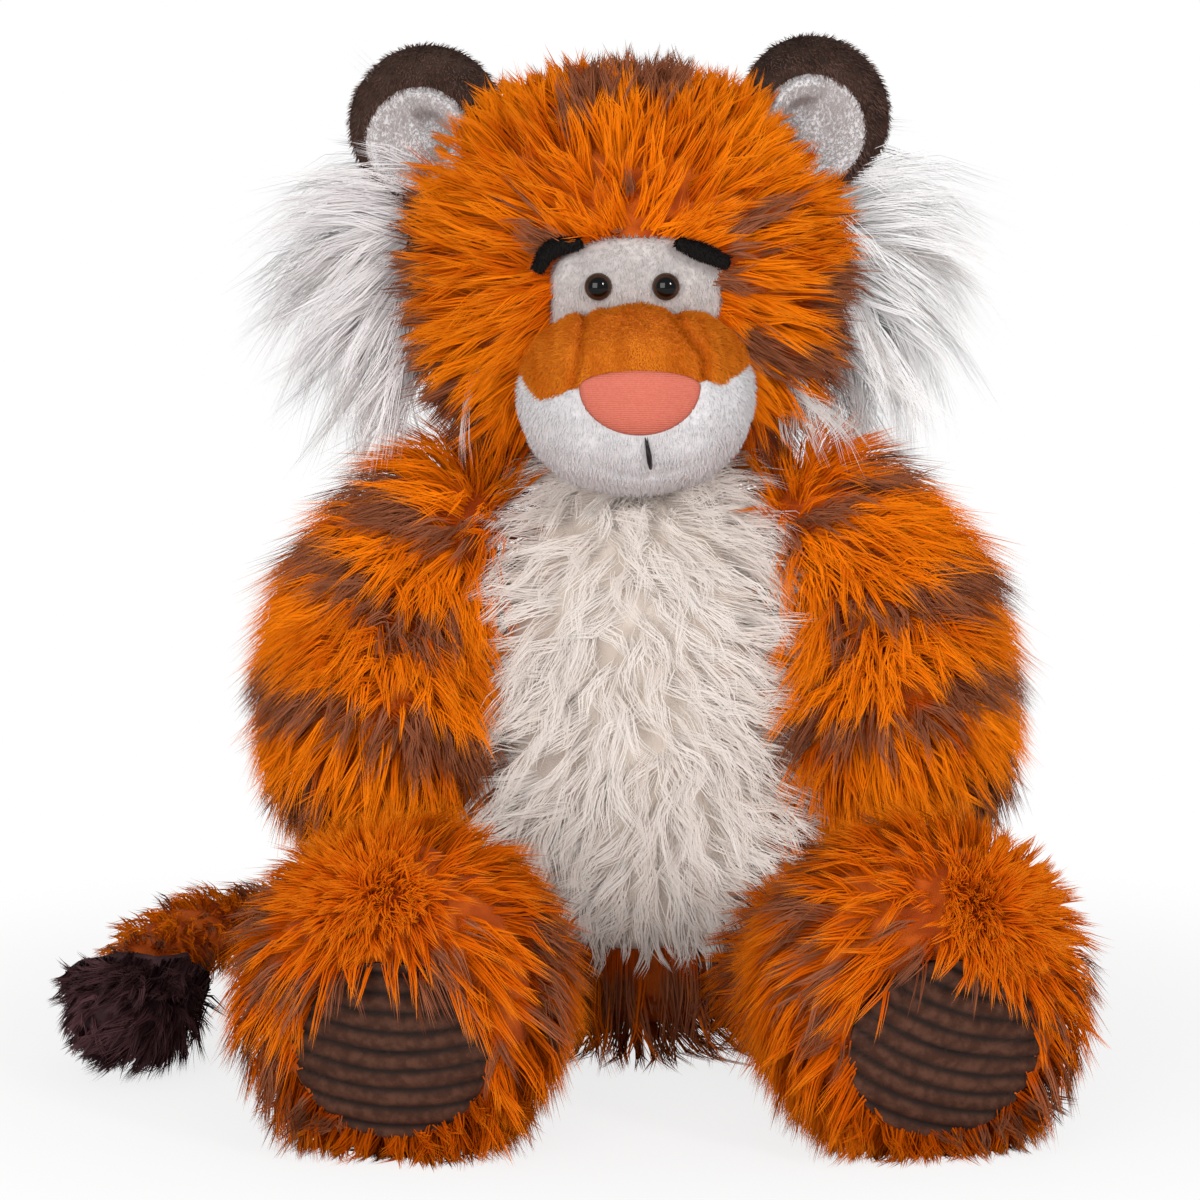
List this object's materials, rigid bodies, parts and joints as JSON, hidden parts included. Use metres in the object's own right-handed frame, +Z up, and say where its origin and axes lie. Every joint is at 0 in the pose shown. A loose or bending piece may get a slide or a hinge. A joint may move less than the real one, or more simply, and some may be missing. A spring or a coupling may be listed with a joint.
{
  "type": "plush tiger",
  "caption": "Sitting stuffed tiger in long orange and brown fur, with a turning head, lifting arms, spreading legs and a swinging brush tail.",
  "frame": {"origin": "middle of the flat under the torso, on the surface that the toy sits on", "axes": "+Z up, the toy looks along -Y and its own left side is +X"},
  "size_m": [0.4316, 0.419, 0.448],
  "materials": {
    "striped_fur": "long orange pile with brown tips and stripes",
    "shaggy_cream_fur": "long curly cream pile",
    "fibre_stuffing": "loose polyester fibre",
    "short_white_plush": "short white velvet pile",
    "short_brown_plush": "short orange-brown velvet pile",
    "salmon_knit": "fine salmon-pink knit",
    "black_thread": "matt black thread",
    "glossy_eye": "glossy dome with a dark brown ring round a black pupil",
    "washer_plastic": "moulded white plastic",
    "black_plush": "short black plush",
    "dark_plush": "short dark brown plush",
    "long_white_hair": "long fine white hair with grey roots",
    "brown_corduroy": "wide-ribbed dark brown corduroy",
    "plum_fur": "long dark plum-brown pile"
  },
  "bodies": {
    "torso": {"torso_cover": "striped_fur", "belly_panel": "shaggy_cream_fur", "torso_stuffing": "fibre_stuffing"},
    "head": {"head_cover": "striped_fur", "head_stuffing": "fibre_stuffing", "eye_patch": "short_white_plush", "muzzle_bridge": "short_brown_plush", "muzzle_right_top": "short_brown_plush", "muzzle_left_top": "short_brown_plush", "chin_panel": "short_white_plush", "muzzle_stuffing": "fibre_stuffing", "nose": "salmon_knit", "mouth_stitch": "black_thread", "right_eye": "glossy_eye", "left_eye": "glossy_eye", "right_eye_washer": "washer_plastic", "left_eye_washer": "washer_plastic", "right_brow": "black_plush", "left_brow": "black_plush", "right_ear": "dark_plush", "left_ear": "dark_plush", "right_ear_lining": "short_white_plush", "left_ear_lining": "short_white_plush", "right_ruff": "long_white_hair", "left_ruff": "long_white_hair"},
    "right_arm": {"right_arm_cover": "striped_fur", "right_arm_stuffing": "fibre_stuffing"},
    "left_arm": {"left_arm_cover": "striped_fur", "left_arm_stuffing": "fibre_stuffing"},
    "right_leg": {"right_leg_cover": "striped_fur", "right_leg_stuffing": "fibre_stuffing", "right_sole_pad": "brown_corduroy"},
    "left_leg": {"left_leg_cover": "striped_fur", "left_leg_stuffing": "fibre_stuffing", "left_sole_pad": "brown_corduroy"},
    "tail": {"tail_cover": "striped_fur", "tail_stuffing": "fibre_stuffing", "tail_tuft": "plum_fur"}
  },
  "joints": [
    {"name": "head_turn", "type": "hinge", "parent": "torso", "child": "head", "pos_m": [-0.005, 0.016, 0.345], "axis": [0, 0, 1], "range_deg": [-30, 30], "stiffness_Nm_per_rad": 0.3},
    {"name": "right_arm_raise", "type": "hinge", "parent": "torso", "child": "right_arm", "pos_m": [-0.0576, 0.0092, 0.23808], "axis": [0, 1, 0], "range_deg": [0, 40]},
    {"name": "left_arm_raise", "type": "hinge", "parent": "torso", "child": "left_arm", "pos_m": [0.0576, 0.0092, 0.23808], "axis": [0, -1, 0], "range_deg": [0, 40]},
    {"name": "right_leg_spread", "type": "hinge", "parent": "torso", "child": "right_leg", "pos_m": [-0.096, 0.0208, 0.045], "axis": [0, 0, -1], "range_deg": [0, 20], "stiffness_Nm_per_rad": 0.2},
    {"name": "left_leg_spread", "type": "hinge", "parent": "torso", "child": "left_leg", "pos_m": [0.096, 0.0208, 0.045], "axis": [0, 0, 1], "range_deg": [0, 20], "stiffness_Nm_per_rad": 0.2},
    {"name": "tail_swing", "type": "hinge", "parent": "torso", "child": "tail", "pos_m": [0.03552, 0.092, 0.03612], "axis": [0, 0, -1], "range_deg": [0, 70], "stiffness_Nm_per_rad": 0.08}
  ]
}
